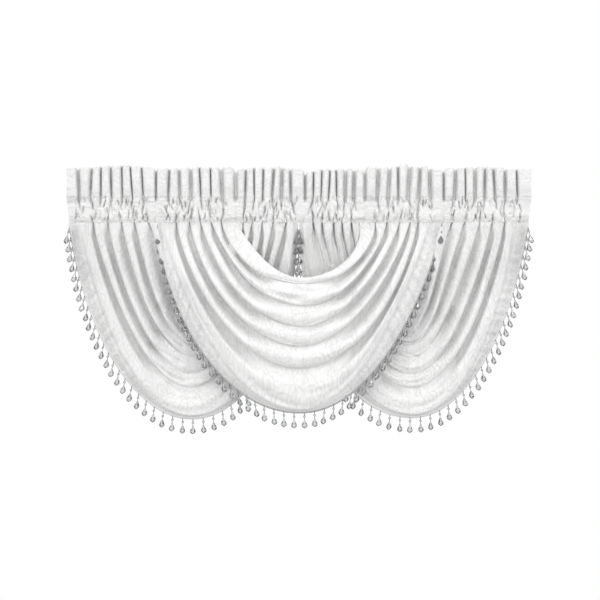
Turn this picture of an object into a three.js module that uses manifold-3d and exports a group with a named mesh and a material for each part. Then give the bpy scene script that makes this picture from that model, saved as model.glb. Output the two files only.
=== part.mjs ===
import * as THREE from 'three';
import { mergeVertices } from 'three/addons/utils/BufferGeometryUtils.js';
import Module from 'manifold-3d';

const wasm = await Module();
wasm.setup();

// A set of three swag valances that share one rod. Each swag is gathered on a ruffled rod-pocket
// heading at both ends and hangs in U-shaped folds between them, with a bead trim along its hem.
// Sizes are in millimetres. The origin is on the rod's axis, at the middle of the set.
// +X runs along the rod, the front faces -Y and +Z is up.

// cloth
const CLOTH = 2;
const SEWN_GAP = 0.4;
const HEM_GAP = 1.4;

// heading: a ruffle that stands above a rod pocket
const POCKET_HALF_HEIGHT = 40;
const POCKET_HALF_DEPTH = 14;
const POCKET_SHOULDER = 24;
const SHOULDER_SHARE = 0.85;
const POCKET_CRINKLE = 5;
const SEAM_HALF_DEPTH = 6;
const RUFFLE_THICKNESS = 3.4;
const RUFFLE_MIDDLE = 88;
const RUFFLE_WAVE = 12;
const RUFFLE_SEAM_WAVE = 4;
const RUFFLE_SCALLOP = 5;
const END_NOTCH = 6;
const TAB_TAPER = 9;

// swags
const SEAM_Z = -POCKET_HALF_HEIGHT - SEWN_GAP;
const SEAM_FOLD = 8;
const RIDGE_LEAN = 0.34;
const STEPS_ALONG = 20;
const STEPS_PER_FOLD = 4;

// bead trim
const TRIM_JOINS = [5, 15];
const TAPE_WIDTH = 6;
const TAPE_THICKNESS = 2;
const ROOT_INSET = 1.2;
const DROP_PITCH = 33;
const DROP_SIDES = 3;
// radius is the drop's own, down is below its root, and out is away from a steep edge
const DROP_PROFILE = [
  { radius: 0, down: 51, out: 12 },
  { radius: 8.4, down: 42, out: 11.5 },
  { radius: 1.3, down: 20, out: 8 },
  { radius: 3.6, down: 13, out: 6.5 },
  { radius: 0.7, down: 0, out: 0 },
  { radius: 0, down: -0.3, out: -0.3 },
];

const WHITE_CLOTH = { color: 0xf1f1ef, roughness: 0.75, metalness: 0 };
const CLEAR_BEAD = { color: 0xdfe4e6, roughness: 0.1, metalness: 0 };

// Each heading runs from one x to another. Its pleats' ridges stand at the x listed, and reach up to the
// tops listed. A tab is a flat end, where the set's outer pleats stop square.
const HEADINGS = [
  { name: 'heading_left_outer', from: -742.4, to: -458.6, tab: 'from',
    ridges: [-723, -684.8, -651.2, -617.6, -582.4, -548.8, -516.8, -480],
    tops: [134, 137, 138, 141, 141, 143, 141, 137] },
  { name: 'heading_centre_left', from: -458.6, to: -203.2, tab: 'none',
    ridges: [-436.8, -400, -363.2, -328, -299.2, -264, -227.2],
    tops: [134, 132, 134, 137, 138, 135, 137] },
  { name: 'heading_left_inner', from: -203.2, to: 17.6, tab: 'none',
    ridges: [-187.2, -156.8, -129.6, -102.4, -70.4, -43.2, -9.6],
    tops: [131, 134, 137, 134, 140, 134, 131] },
  { name: 'heading_right_inner', from: 17.6, to: 210.6, tab: 'none',
    ridges: [32, 59.2, 81.6, 107.2, 134.4, 160, 188.8],
    tops: [122, 128, 131, 128, 131, 131, 129] },
  { name: 'heading_centre_right', from: 210.6, to: 461.8, tab: 'none',
    ridges: [232, 268.8, 300.8, 334.4, 363.2, 401.6, 440],
    tops: [140, 135, 137, 147, 138, 141, 129] },
  { name: 'heading_right_outer', from: 461.8, to: 742.4, tab: 'to',
    ridges: [480, 515.2, 550.4, 576, 611.2, 643.2, 675.2, 723],
    tops: [134, 134, 137, 138, 138, 134, 131, 131] },
];

// One row for the dip edge, one for each valley below it, one for the lip where the cloth turns back,
// and one for the hem. leftX and rightX are where the line meets the two headings, lowX and lowZ its
// lowest point. headFold and midFold are the depths, by the heading and in the middle, of the ridge that
// follows, and swell is how far the cloth stands in front of the rod in the middle. leftSag and rightSag
// shape the line's two halves: 1 is round, and 2 runs straight in to a point.
const fold = (leftX, lowX, lowZ, rightX, headFold, midFold, swell, leftSag, rightSag) => (
  { leftX, lowX, lowZ, rightX, headFold, midFold, swell, leftSag, rightSag }
);
const SWAGS = [
  { side: 'left', rows: [
    fold(-464, -339, -365, -197, 20, 9, -26, 3.4, 3),
    fold(-480.5, -340, -393.6, -180, 25, 11, -27, 2.9, 1.6),
    fold(-526.5, -341, -441.6, -150, 26, 11, -28, 2, 2.1),
    fold(-566, -342, -489.6, -118, 26, 12, -29, 1.9, 1.85),
    fold(-612, -343, -569.6, -83, 26, 10, -30, 2, 2.1),
    fold(-657, -344, -614.4, -42, 22, 10, -30, 2, 2.2),
    fold(-694, -345, -658, -25, 24, 20, -30, 1.47, 1.15),
    fold(-729.6, -345.6, -665, -15, 24, 20, -30, 1.3, 1),
  ] },
  { side: 'centre', rows: [
    fold(-206, 8, -217, 200, 20, 9, 38, 1.5, 0.95),
    fold(-246, 7, -249.6, 243, 26, 13, 41, 1.35, 1.1),
    fold(-280, 6, -307.2, 281, 27, 13, 44, 1.75, 1.55),
    fold(-314, 5, -374.4, 322, 27, 13, 46, 1.65, 1.85),
    fold(-350, 4, -435.2, 356, 27, 13, 48, 1.5, 1.8),
    fold(-391, 3, -496, 380, 22, 14, 50, 1.35, 1.35),
    fold(-432, 3, -635, 419, 24, 22, 50, 1.6, 1.95),
    fold(-450, 3, -643, 453, 24, 22, 50, 1.2, 1.55),
  ] },
  { side: 'right', rows: [
    fold(192, 340, -300, 462, 20, 9, -26, 3, 2.9),
    fold(169.6, 354, -393.6, 488, 25, 11, -27, 1.55, 2.8),
    fold(138, 356, -441.6, 530, 26, 11, -28, 1.6, 2.7),
    fold(113, 359, -502.4, 578, 26, 12, -29, 1.5, 2.5),
    fold(73, 362, -569.6, 618, 26, 10, -30, 1.85, 2.2),
    fold(48, 364, -614.4, 656, 22, 10, -30, 1.75, 1.95),
    fold(33, 366, -654, 684, 24, 20, -30, 1.15, 1.35),
    fold(23, 366, -661, 726.4, 24, 20, -30, 0.9, 1.35),
  ] },
];

const mix = (a, b, share) => a + (b - a) * share;
const ease = (from, to, x) => THREE.MathUtils.smoothstep(x, from, to);

function rowAt(rows, place) {
  const below = Math.min(Math.max(Math.floor(place), 0), rows.length - 2);
  const row = {};
  for (const column of Object.keys(rows[below])) {
    row[column] = mix(rows[below][column], rows[below + 1][column], place - below);
  }
  return row;
}

function solidOf(points, triangles) {
  const geometry = new THREE.BufferGeometry();
  const numbers = points.flatMap((point) => point.toArray());
  geometry.setAttribute('position', new THREE.Float32BufferAttribute(numbers, 3));
  geometry.setIndex(triangles);
  return geometry;
}

// A closed solid from a grid of front points and a grid of back points.
function sheetSolid(front, back) {
  const rows = front.length;
  const columns = front[0].length;
  const triangles = [];
  const quad = (a, b, c, d) => triangles.push(a, b, c, a, c, d);
  const frontAt = (i, j) => i * columns + j;
  const backAt = (i, j) => rows * columns + i * columns + j;
  const lastRow = rows - 1;
  const lastColumn = columns - 1;
  for (let i = 0; i < lastRow; i += 1) {
    for (let j = 0; j < lastColumn; j += 1) {
      quad(frontAt(i, j), frontAt(i + 1, j), frontAt(i + 1, j + 1), frontAt(i, j + 1));
      quad(backAt(i, j), backAt(i, j + 1), backAt(i + 1, j + 1), backAt(i + 1, j));
    }
    quad(frontAt(i, 0), backAt(i, 0), backAt(i + 1, 0), frontAt(i + 1, 0));
    quad(frontAt(i, lastColumn), frontAt(i + 1, lastColumn), backAt(i + 1, lastColumn), backAt(i, lastColumn));
  }
  for (let j = 0; j < lastColumn; j += 1) {
    quad(frontAt(0, j), frontAt(0, j + 1), backAt(0, j + 1), backAt(0, j));
    quad(frontAt(lastRow, j), backAt(lastRow, j), backAt(lastRow, j + 1), frontAt(lastRow, j + 1));
  }
  return solidOf([...front.flat(), ...back.flat()], triangles);
}

// A closed tunnel from stations along x, each with an outer and an inner loop of [y, z] pairs.
function tunnelSolid(stations) {
  const points = [];
  const triangles = [];
  const outerCount = stations[0].outer.length;
  const innerCount = stations[0].inner.length;
  const loopCount = outerCount + innerCount;
  for (const { x, taper, outer, inner } of stations) {
    const drawnIn = (z) => taper * (1 - ease(-POCKET_HALF_HEIGHT, POCKET_HALF_HEIGHT, z));
    points.push(...[...outer, ...inner].map(([y, z]) => new THREE.Vector3(x + drawnIn(z), y, z)));
  }
  const wall = (start, first, count, flip) => {
    for (let k = 0; k < count; k += 1) {
      const a = start + first + k;
      const b = start + first + (k + 1) % count;
      const [near, far] = flip ? [b, a] : [a, b];
      triangles.push(near, near + loopCount, far + loopCount, near, far + loopCount, far);
    }
  };
  for (let i = 0; i < stations.length - 1; i += 1) {
    wall(i * loopCount, 0, outerCount, true);
    wall(i * loopCount, outerCount, innerCount, false);
  }
  const cap = (index, facing) => {
    const { outer, inner } = stations[index];
    const flat = (loop) => loop.map(([y, z]) => new THREE.Vector2(y, z));
    const corners = flat([...outer, ...inner]);
    for (const [a, b, c] of THREE.ShapeUtils.triangulateShape(flat(outer), [flat(inner)])) {
      const area = THREE.ShapeUtils.area([corners[a], corners[b], corners[c]]);
      const start = index * loopCount;
      triangles.push(start + a, ...(area * facing > 0 ? [start + b, start + c] : [start + c, start + b]));
    }
  };
  cap(0, -1);
  cap(stations.length - 1, 1);
  return solidOf(points, triangles);
}

// The loops of a heading at one x. ridge is 1 on a pleat's ridge and 0 in a valley, top is the height of
// the ruffle there, and count numbers the stations, so the pocket's crinkles run aslant. taper is how far
// the lower seam is drawn in along x.
function headingStation(x, ridge, top, count, taper) {
  const half = RUFFLE_THICKNESS / 2;
  const wave = (size) => size * (0.6 - 1.6 * ridge);
  const crinkle = (shift) => POCKET_CRINKLE * (0.5 + 0.5 * Math.sin(1.95 * count + shift));
  const wall = (shift) => POCKET_HALF_DEPTH + crinkle(shift);
  const shoulder = (shift) => SHOULDER_SHARE * POCKET_HALF_DEPTH + crinkle(shift);
  const seam = POCKET_HALF_HEIGHT;
  const outer = [
    [wave(RUFFLE_WAVE) - half, top],
    [wave(RUFFLE_WAVE) - half, RUFFLE_MIDDLE],
    [wave(RUFFLE_SEAM_WAVE) - half, seam],
    [-shoulder(0), POCKET_SHOULDER],
    [-wall(1.3), 0],
    [-shoulder(2.4), -POCKET_SHOULDER],
    [-SEAM_HALF_DEPTH, -seam],
    [SEAM_HALF_DEPTH, -seam],
    [shoulder(4), -POCKET_SHOULDER],
    [shoulder(5.2), POCKET_SHOULDER],
    [wave(RUFFLE_SEAM_WAVE) + half, seam],
    [wave(RUFFLE_WAVE) + half, RUFFLE_MIDDLE],
    [wave(RUFFLE_WAVE) + half, top],
  ];
  const inner = [
    [wave(RUFFLE_SEAM_WAVE) / 2, seam - 2 * CLOTH],
    [CLOTH - shoulder(0), POCKET_SHOULDER - CLOTH / 2],
    [CLOTH - wall(1.3), 0],
    [CLOTH - shoulder(2.4), CLOTH / 2 - POCKET_SHOULDER],
    [0, CLOTH - seam],
    [shoulder(4) - CLOTH, CLOTH / 2 - POCKET_SHOULDER],
    [shoulder(5.2) - CLOTH, POCKET_SHOULDER - CLOTH / 2],
  ];
  return { x, taper, outer, inner };
}

function headingGeometry({ from, to, tab, ridges, tops }) {
  const valleys = ridges.slice(1).map((ridge, i) => (ridge + ridges[i]) / 2);
  const bounds = [from + SEWN_GAP / 2, ...valleys, to - SEWN_GAP / 2];
  const stations = [];
  const add = (x, ridge, top, taper = 0) => {
    stations.push(headingStation(x, ridge, top, stations.length, taper));
  };
  const addEnd = (x, top, taper) => {
    if (taper) {
      add(x, 1, top, taper);
    } else {
      add(x, 0, top - RUFFLE_SCALLOP - END_NOTCH);
    }
  };
  addEnd(bounds[0], tops[0], tab === 'from' ? TAB_TAPER : 0);
  ridges.forEach((ridge, i) => {
    if (i > 0) {
      add(bounds[i], 0, Math.min(tops[i - 1], tops[i]) - RUFFLE_SCALLOP);
    }
    add(mix(bounds[i], ridge, 0.55), 1, tops[i]);
    add(mix(ridge, bounds[i + 1], 0.45), 1, tops[i]);
  });
  addEnd(bounds.at(-1), tops.at(-1), tab === 'to' ? -TAB_TAPER : 0);
  return tunnelSolid(stations);
}

// The part of a whole ridge, from one valley at 0 to the next at 1, that lies between a row and the next.
function ridgePart(cell, hem) {
  if (cell === 0) {
    return [0.22, 1];
  }
  if (cell === hem - 2) {
    return [0, 0.5];
  }
  return cell === hem - 1 ? [0.5, 0.92] : [0, 1];
}

// A point of a swag. down counts the rows of its table from the dip edge, and along runs from -1 at
// the left heading to 1 at the right one.
function swagPoint(swag, down, along) {
  const hem = swag.rows.length - 1;
  const cell = Math.min(Math.floor(down), hem - 1);
  const across = down - cell;
  const [start, end] = ridgePart(cell, hem);
  const rise = Math.sin(Math.PI * mix(start, end, across));
  const lean = cell < hem - 2 ? RIDGE_LEAN : 0;
  const row = rowAt(swag.rows, down + lean * (rise - Math.sin(Math.PI * start) * (1 - across)));
  const turn = (1 - Math.abs(along)) * Math.PI / 2;
  const fall = Math.sin(turn);
  const [anchor, sag] = along < 0 ? [row.leftX, row.leftSag] : [row.rightX, row.rightSag];
  const byHeading = mix(SEAM_FOLD, row.headFold, ease(0, 0.16, fall));
  const depth = mix(byHeading, row.midFold, ease(0.6, 1, fall));
  return new THREE.Vector3(
    mix(row.lowX, anchor, Math.cos(turn)),
    -row.swell * Math.sqrt(fall) - depth * (rise - 0.5),
    mix(SEAM_Z, row.lowZ, fall ** sag),
  );
}

// Unit vectors at a point of a swag: across the cloth towards the hem, and out of its front.
function swagAxes(swag, down, along) {
  const step = 0.04;
  const downA = Math.max(down - step, 0);
  const downB = Math.min(down + step, swag.rows.length - 1);
  const alongA = Math.max(along - step, -1);
  const alongB = Math.min(along + step, 1);
  const outward = swagPoint(swag, downB, along).sub(swagPoint(swag, downA, along));
  const sideways = swagPoint(swag, down, alongB).sub(swagPoint(swag, down, alongA));
  if (Math.abs(along) === 1) {
    outward.z = 0;
    sideways.set(0, 0, -along);
  }
  outward.normalize();
  return { outward, front: outward.clone().cross(sideways).normalize() };
}

const alongSteps = Array.from({ length: STEPS_ALONG + 1 }, (_, i) => 2 * i / STEPS_ALONG - 1);

function swagGeometry(swag) {
  const hem = swag.rows.length - 1;
  const downSteps = Array.from({ length: (hem - 1) * STEPS_PER_FOLD + 1 }, (_, i) => i / STEPS_PER_FOLD);
  const front = [];
  const back = [];
  for (const down of [...downSteps, hem]) {
    const middle = alongSteps.map((along) => swagPoint(swag, down, along));
    const outs = alongSteps.map((along) => swagAxes(swag, down, along).front);
    front.push(middle.map((p, j) => p.clone().addScaledVector(outs[j], CLOTH / 2)));
    back.push(middle.map((p, j) => p.clone().addScaledVector(outs[j], -CLOTH / 2)));
  }
  return sheetSolid(front, back);
}

// A length of bead trim along a swag's hem, from one step to another: a tape that carries on from the
// hem, and the drops that hang from its edge.
function trimGeometry(swag, firstStep, lastStep) {
  const hem = swag.rows.length - 1;
  const line = alongSteps.slice(firstStep, lastStep + 1).map((along) => {
    const { outward, front } = swagAxes(swag, hem, THREE.MathUtils.clamp(along, -0.95, 0.95));
    return { point: swagPoint(swag, hem, along), outward, front };
  });
  const shorten = (end, next) => end.point.lerp(next.point, SEWN_GAP / end.point.distanceTo(next.point));
  shorten(line[0], line[1]);
  shorten(line.at(-1), line.at(-2));
  const edge = (away, out) => line.map(({ point, outward, front }) => (
    point.clone().addScaledVector(outward, away).addScaledVector(front, out)
  ));
  const grid = (out) => [edge(HEM_GAP, out), edge(HEM_GAP + TAPE_WIDTH, out)];
  const tape = sheetSolid(grid(TAPE_THICKNESS / 2), grid(-TAPE_THICKNESS / 2));
  const roots = new THREE.CurvePath();
  const rootLine = edge(HEM_GAP + TAPE_WIDTH - ROOT_INSET, 0);
  rootLine.slice(1).forEach((point, i) => roots.add(new THREE.LineCurve3(rootLine[i], point)));
  const count = Math.round(roots.getLength() / DROP_PITCH);
  let trim = manifoldOf(tape);
  for (let i = 0; i < count; i += 1) {
    const share = (i + 0.5) / count;
    trim = trim.add(manifoldOf(dropGeometry(roots.getPointAt(share), roots.getTangentAt(share).z)));
  }
  return geometryOf(trim);
}

// A thread with a small bead and a teardrop bead. It hangs from its root, and stands off a steep edge.
function dropGeometry(root, steep) {
  const profile = DROP_PROFILE.map(({ radius, down }) => new THREE.Vector2(radius, -down));
  const drop = new THREE.LatheGeometry(profile, DROP_SIDES);
  const place = drop.attributes.position;
  for (let i = 0; i < place.count; i += 1) {
    const { out } = DROP_PROFILE[i % DROP_PROFILE.length];
    place.setX(i, place.getX(i) + out * steep);
  }
  drop.rotateX(Math.PI / 2);
  drop.translate(root.x, root.y, root.z);
  return drop;
}

function manifoldOf(geometry) {
  const bare = geometry.clone();
  bare.deleteAttribute('normal');
  bare.deleteAttribute('uv');
  const merged = mergeVertices(bare, 1e-3);
  return new wasm.Manifold(new wasm.Mesh({
    numProp: 3,
    vertProperties: new Float32Array(merged.attributes.position.array),
    triVerts: new Uint32Array(merged.index.array),
  }));
}

function geometryOf(manifold) {
  const mesh = manifold.getMesh();
  const geometry = new THREE.BufferGeometry();
  geometry.setAttribute('position', new THREE.Float32BufferAttribute(mesh.vertProperties, 3));
  geometry.setIndex([...mesh.triVerts]);
  return geometry;
}

const set = new THREE.Group();

function addPiece(name, geometry, look) {
  const mesh = new THREE.Mesh(geometry, new THREE.MeshStandardMaterial(look));
  mesh.name = name;
  set.add(mesh);
}

for (const heading of HEADINGS) {
  addPiece(heading.name, headingGeometry(heading), WHITE_CLOTH);
}
for (const swag of SWAGS) {
  addPiece(`swag_${swag.side}`, swagGeometry(swag), WHITE_CLOTH);
  addPiece(`bead_trim_${swag.side}_a`, trimGeometry(swag, 0, TRIM_JOINS[0]), CLEAR_BEAD);
  addPiece(`bead_trim_${swag.side}_b`, trimGeometry(swag, TRIM_JOINS[0], TRIM_JOINS[1]), CLEAR_BEAD);
  addPiece(`bead_trim_${swag.side}_c`, trimGeometry(swag, TRIM_JOINS[1], STEPS_ALONG), CLEAR_BEAD);
}

export default set;
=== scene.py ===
# %% [markdown]
# # A set of three swag valances on one rod
# The real thing is a window topper sewn from white jacquard. Three swags share one rod: each is
# gathered at both ends on a ruffled rod-pocket heading, hangs between them in U-shaped folds, and has
# a fringe of clear beads along its hem. This script loads the solids that were packed for the part and
# dresses each one: cloth sheets for the headings and swags, and bead trims for the fringe.

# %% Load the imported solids
import math

import bmesh
import bpy
import numpy as np
from mathutils import Matrix, Vector


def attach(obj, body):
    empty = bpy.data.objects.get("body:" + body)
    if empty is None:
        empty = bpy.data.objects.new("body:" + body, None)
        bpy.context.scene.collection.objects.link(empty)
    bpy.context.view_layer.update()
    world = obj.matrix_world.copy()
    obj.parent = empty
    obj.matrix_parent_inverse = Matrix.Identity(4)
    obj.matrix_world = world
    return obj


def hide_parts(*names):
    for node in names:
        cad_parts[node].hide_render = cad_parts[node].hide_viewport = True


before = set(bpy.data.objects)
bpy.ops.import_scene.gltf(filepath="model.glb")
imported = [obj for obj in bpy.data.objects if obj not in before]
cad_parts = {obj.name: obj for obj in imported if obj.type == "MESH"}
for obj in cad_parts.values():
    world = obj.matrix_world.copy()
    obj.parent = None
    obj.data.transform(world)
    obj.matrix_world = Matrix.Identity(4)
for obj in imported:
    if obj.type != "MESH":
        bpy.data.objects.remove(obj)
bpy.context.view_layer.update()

# %% [markdown]
# ## The camera
# The set is seen square on, and a picture pixel is 3.2 mm at the rod. A long lens a good way off keeps
# the sides of the folds from opening up, as a wide lens close by would show them.

# %% Units and camera
MM = 0.001
TURN = 2 * math.pi
PIXEL = 3.2 * MM
PICTURE = 600
# the middle of the picture, in pixels to the right of the set's middle and up from the rod's axis
MIDDLE_X = 1
MIDDLE_Z = -90
camera_lens = bpy.data.cameras.new("camera")
camera_lens.lens = 135
camera_lens.sensor_width = 36
camera = bpy.data.objects.new("camera", camera_lens)
half_view = PICTURE / 2 * PIXEL
distance = half_view / (camera_lens.sensor_width / 2 / camera_lens.lens)
camera.location = (MIDDLE_X * PIXEL, -distance, MIDDLE_Z * PIXEL)
camera.rotation_euler = (math.pi / 2, 0, 0)
bpy.context.scene.collection.objects.link(camera)
bpy.context.scene.camera = camera
print("camera stands", round(distance, 2), "m off")

# %% [markdown]
# ## Shader maths as Python
# A finish is a sum of many small steps. Dragging a node for each would be slow to read, so one class
# wraps a socket: adding or multiplying two wrapped sockets adds the Math node that does it, and make()
# adds any other node from its type, its settings and what goes in to its sockets.

# %% One class for all node trees


class Wire:
    """What comes out of a socket, as a value that Python can reckon with."""

    def __init__(self, tree, socket=None):
        self.tree = tree
        self.socket = socket

    def make(self, kind, settings=None, sockets=None, out=0):
        """A new node, and what comes out of one of its sockets."""
        node = self.tree.nodes.new(kind)
        for name, value in (settings or {}).items():
            setattr(node, name, value)
        for name, value in (sockets or {}).items():
            if isinstance(value, Wire):
                self.tree.links.new(value.socket, node.inputs[name])
            else:
                node.inputs[name].default_value = value
        return Wire(self.tree, node.outputs[out] if len(node.outputs) else None)

    def other(self, name):
        """What comes out of another socket of the same node."""
        return Wire(self.tree, self.socket.node.outputs[name])

    def math(self, operation, *more):
        return self.make("ShaderNodeMath", {"operation": operation}, dict(enumerate((self, *more))))

    def __add__(self, other):
        return self.math("ADD", other)

    def __sub__(self, other):
        return self.math("SUBTRACT", other)

    def __rsub__(self, other):
        return self * -1 + other

    def __mul__(self, other):
        return self.math("MULTIPLY", other)

    def __truediv__(self, other):
        return self.math("DIVIDE", other)

    def __abs__(self):
        return self.math("ABSOLUTE")

    def ramp(self, start, end, low=0.0, high=1.0):
        """A soft step from low to high, as the value goes from start to end."""
        limits = {"Value": self, "From Min": start, "From Max": end, "To Min": low, "To Max": high}
        return self.make("ShaderNodeMapRange", {"interpolation_type": "SMOOTHSTEP"}, limits)

    def tint(self, low, high):
        """A colour between two, by this value."""
        sockets = {0: self, 6: (*low, 1), 7: (*high, 1)}
        return self.make("ShaderNodeMix", {"data_type": "RGBA"}, sockets, 2)


def new_finish(name):
    """An empty material, and a wire to make its nodes with."""
    material = bpy.data.materials.new(name)
    material.use_nodes = True
    material.node_tree.nodes.clear()
    return material, Wire(material.node_tree)


def close_finish(wire, sockets):
    """The main shader, with what goes in to its sockets, led to the material's output."""
    shader = wire.make("ShaderNodeBsdfPrincipled", {}, sockets)
    wire.make("ShaderNodeOutputMaterial", {}, {"Surface": shader})


print("Wire is ready")

# %% [markdown]
# ## The studio
# White cloth shows its folds only by how much light gets down in to them, so the light is a wide, soft
# sky: brightest from above, from the front and from the sides, dimmer from below and from behind. A few
# lamps could light it too, but each would throw edged shadows that such soft folds don't have.
#
# The light path node tells the rays apart. What the camera sees directly is plain white. A ray that has
# passed through a bead sees a sky of its own, light straight behind and dark all round, because a clear
# bead shows little but what it bends in from behind.

# %% Sky
studio = bpy.data.worlds.new("studio")
bpy.context.scene.world = studio
studio.use_nodes = True
studio.node_tree.nodes.clear()
sky = Wire(studio.node_tree)
facing = sky.make("ShaderNodeTexCoord", out="Generated")
back = sky.make("ShaderNodeSeparateXYZ", {}, {0: facing}, "Y")
# each ramp says from where to where it runs in its direction, and from how bright to how bright
by_height = back.other("Z").ramp(-0.75, 0.7, 0.37, 1.3)
by_side = abs(back.other("X")).ramp(0.25, 0.8, 0.96, 1.36)
by_depth = back.ramp(-1.0, 0.9, 1.2, 0.62)
glow = by_height * by_side * by_depth
seen = sky.make("ShaderNodeLightPath", out="Is Camera Ray")
through = seen.other("Is Transmission Ray")
bent = back.ramp(0.45, 1.0, 0.08, 0.85)
light = glow + (bent - glow) * through
strength = seen + light * (1 - seen)
backdrop = sky.make("ShaderNodeBackground", {}, {"Color": (1, 1, 1, 1), "Strength": strength})
sky.make("ShaderNodeOutputWorld", {}, {"Surface": backdrop})
bpy.context.scene.view_settings.view_transform = "Standard"
print("nodes in the sky:", len(studio.node_tree.nodes))

# %% [markdown]
# ## Softbox and floor
# A small, weak softbox in front adds a sheen on the upper side of each fold, which a sky alone leaves
# flat. The floor is one pale square, well below the set and out of the front view.

# %% Softbox
SOFTBOX_PLACE = Vector((0, -2.4, 2.0))
SOFTBOX_AIM = Vector((0, 0, -0.3))
softbox_light = bpy.data.lights.new("softbox", "AREA")
softbox_light.shape = "RECTANGLE"
softbox_light.size = 0.4
softbox_light.size_y = 0.25
softbox_light.energy = 3
softbox = bpy.data.objects.new("softbox", softbox_light)
softbox.location = SOFTBOX_PLACE
softbox.rotation_euler = (SOFTBOX_AIM - SOFTBOX_PLACE).to_track_quat("-Z", "Y").to_euler()
bpy.context.scene.collection.objects.link(softbox)
print("softbox of", softbox_light.energy, "W")

# %% Floor
FLOOR_Z = -3.2
FLOOR_HALF = 1.8
pale, floor_wire = new_finish("pale_floor")
grain = floor_wire.make("ShaderNodeTexNoise", {}, {"Scale": 3.0, "Detail": 3.0})
floor_tint = grain.tint((0.78, 0.78, 0.78), (0.84, 0.84, 0.84))
close_finish(floor_wire, {"Base Color": floor_tint, "Roughness": 0.8})
bm = bmesh.new()
floor_place = Matrix.Translation((0, 0, FLOOR_Z))
bmesh.ops.create_grid(bm, x_segments=1, y_segments=1, size=FLOOR_HALF, matrix=floor_place)
floor_mesh = bpy.data.meshes.new("floor")
bm.to_mesh(floor_mesh)
bm.free()
floor_mesh.materials.append(pale)
floor = bpy.data.objects.new("floor", floor_mesh)
bpy.context.scene.collection.objects.link(floor)
print("floor is at z", round(floor_mesh.vertices[0].co.z, 2))

# %% [markdown]
# ## The jacquard's figure
# Jacquard draws its figure with the weave alone: figure and ground are the same white yarn, but the
# figure floats on the surface and shines a little more. It could be a picture file, but here it is
# reckoned from the cloth's own UV map, which is in metres, so the figure follows each fold. The repeat is
# a common scroll: mirrored pairs of spirals, leaves on the axis between them, and a winding stem.

# %% Scroll and leaf
# where a leaf's outline runs and its heart ends, as shares of the leaf
LEAF_EDGE = 0.94
LEAF_HEART = 0.42


def near(value, limit, edge=0.0011):
    """1 where the value is under its limit and 0 where it is over, with a soft edge."""
    return value.ramp(limit - edge, limit + edge, 1.0, 0.0)


def scroll(across, up, centre, reach, pitch, hand, line=0.0021):
    """A spiral line that winds out from its centre."""
    dx = across - centre[0]
    dy = up - centre[1]
    far = (dx * dx + dy * dy).math("SQRT")
    turn = dy.math("ARCTAN2", dx) / TURN
    gap = abs((far / pitch + turn * hand).math("FRACT") - 0.5) * pitch
    return near(gap, line) * near(far, reach)


def leaf(across, up, centre, wide, high, line=0.0022):
    """The outline of a leaf, broader towards its top, with a smaller leaf in it."""
    dx = (across - centre[0]) / wide
    dy = (up - centre[1]) / high
    swell = 1.25 - dy * 0.55
    far = (dx * dx * swell * swell + dy * dy).math("SQRT")
    outline = near(abs(far - LEAF_EDGE) * wide, line)
    return outline.math("MAXIMUM", near(far * wide, wide * LEAF_HEART))


print("a leaf's heart takes up", LEAF_HEART, "of it")

# %% One repeat of the figure
REPEAT_WIDE = 0.21
REPEAT_HIGH = 0.25
# the stem's place and sway, and half the width of its line, in metres
STEM_PLACE = 0.082
STEM_SWAY = 0.012
STEM_HALF = 0.0019
# each scroll's centre, reach and pitch in metres, and the hand that it winds by
SCROLLS = [
    ((0.052, 0.042), 0.037, 0.0145, 1),
    ((0.047, -0.05), 0.03, 0.0125, -1),
    ((0.088, -0.105), 0.016, 0.0095, 1),
]
# each leaf's centre, width and height in metres
LEAVES = [((0.0, 0.075), 0.024, 0.038), ((0.0, -0.03), 0.017, 0.03), ((0.09, 0.0), 0.012, 0.024)]


def jacquard_figure(wire):
    """The cloth's two coordinates in metres, and 1 on the figure and 0 on the ground."""
    place = wire.make("ShaderNodeUVMap", {"uv_map": "cloth"})
    u = wire.make("ShaderNodeSeparateXYZ", {}, {0: place}, "X")
    v = u.other("Y")
    column = u / REPEAT_WIDE
    across = abs(column.math("FRACT") - 0.5) * REPEAT_WIDE
    row = v / REPEAT_HIGH + column.math("FLOOR") * 0.5
    up = (row.math("FRACT") - 0.5) * REPEAT_HIGH
    sway = (up * (TURN / REPEAT_HIGH)).math("SINE") * STEM_SWAY
    figure = near(abs(across - STEM_PLACE - sway), STEM_HALF)
    for shape in SCROLLS:
        figure = figure.math("MAXIMUM", scroll(across, up, *shape))
    for shape in LEAVES:
        figure = figure.math("MAXIMUM", leaf(across, up, *shape))
    return u, v, figure


print("repeat of", REPEAT_WIDE, "by", REPEAT_HIGH, "m")

# %% [markdown]
# ## The jacquard's finish
# Close up, more than the figure shows. The ground is a slanting rib, and the figure a finer one that
# slants the other way. The yarn has thick and thin places, called slub, and pressing leaves a watered
# ripple. Blotches of painted shade darken each sheet's lower edge, as on a swag's hem that turns back
# in shade. Each is one wave or one noise over the UV map, and the map counts up from a sheet's lower
# edge, so the painted shade lies where v is small.
#
# All of them change the colour. All but the painted shade along the lower edge also feed a Bump node,
# which turns the light as raised yarn does and leaves the mesh as it is.

# %% White jacquard finish
# pitches of the two ribs, and the heights over which the lower edge's painted shade fades out, in metres
RIB_PITCH = 0.0022
CROSS_PITCH = 0.0016
PAINTED_SHADE_BAND = (0.016, 0.026)
# how closely the watered ripple's lines lie
WATERED_RATE = 70


def waves(value, rate):
    """Even ripples between 0 and 1."""
    return (value * rate).math("SINE") * 0.5 + 0.5


def cloth_noise(wire, scale, detail):
    """Noise over the cloth's UV map, finer with a larger scale."""
    place = wire.make("ShaderNodeUVMap", {"uv_map": "cloth"})
    return wire.make("ShaderNodeTexNoise", {}, {"Vector": place, "Scale": scale, "Detail": detail})


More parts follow.
